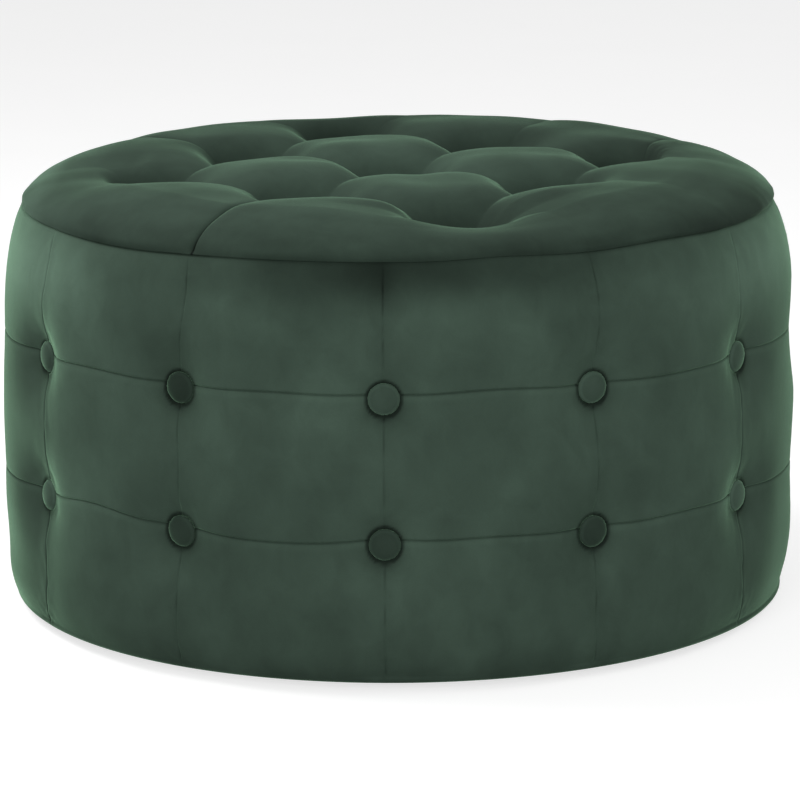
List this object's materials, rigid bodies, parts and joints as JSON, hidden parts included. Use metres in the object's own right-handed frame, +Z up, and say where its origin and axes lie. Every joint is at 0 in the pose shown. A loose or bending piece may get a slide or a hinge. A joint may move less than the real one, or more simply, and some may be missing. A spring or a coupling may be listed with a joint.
{
  "type": "pouf",
  "caption": "Round drum-shaped pouf with a button-tufted dark green velvet cover, a pillowed tufted top and low glides under the base.",
  "frame": {"origin": "on the floor under the middle of the pouf", "axes": "+Z up through the middle of the top; the pictured side faces -Y, and one upright seam of the side stands at -Y"},
  "size_m": [0.7542, 0.7542, 0.4222],
  "materials": {
    "velvet": "velvet with a short nap",
    "foam": "open-cell foam",
    "plywood": "sanded plywood",
    "pine": "planed pine",
    "board": "smooth fibreboard",
    "black_cloth": "matt non-woven",
    "black_plastic": "moulded",
    "steel": "zinc plated"
  },
  "bodies": {
    "root": {"top_cover": "velvet", "side_cover": "velvet", "top_foam": "foam", "side_foam": "foam", "seat_deck": "plywood", "base_board": "plywood", "side_wall": "board", "dust_cover": "black_cloth", "top_button_1": "velvet", "top_button_2": "velvet", "top_button_3": "velvet", "top_button_4": "velvet", "top_button_5": "velvet", "top_button_6": "velvet", "top_button_7": "velvet", "top_button_8": "velvet", "top_button_9": "velvet", "side_button_lower_1": "velvet", "side_button_lower_2": "velvet", "side_button_lower_3": "velvet", "side_button_lower_4": "velvet", "side_button_lower_5": "velvet", "side_button_lower_6": "velvet", "side_button_lower_7": "velvet", "side_button_lower_8": "velvet", "side_button_lower_9": "velvet", "side_button_lower_10": "velvet", "side_button_lower_11": "velvet", "side_button_lower_12": "velvet", "side_button_upper_1": "velvet", "side_button_upper_2": "velvet", "side_button_upper_3": "velvet", "side_button_upper_4": "velvet", "side_button_upper_5": "velvet", "side_button_upper_6": "velvet", "side_button_upper_7": "velvet", "side_button_upper_8": "velvet", "side_button_upper_9": "velvet", "side_button_upper_10": "velvet", "side_button_upper_11": "velvet", "side_button_upper_12": "velvet", "frame_post_1": "pine", "glide_1": "black_plastic", "glide_screw_1": "steel", "frame_post_2": "pine", "glide_2": "black_plastic", "glide_screw_2": "steel", "frame_post_3": "pine", "glide_3": "black_plastic", "glide_screw_3": "steel", "frame_post_4": "pine", "glide_4": "black_plastic", "glide_screw_4": "steel"}
  },
  "joints": []
}
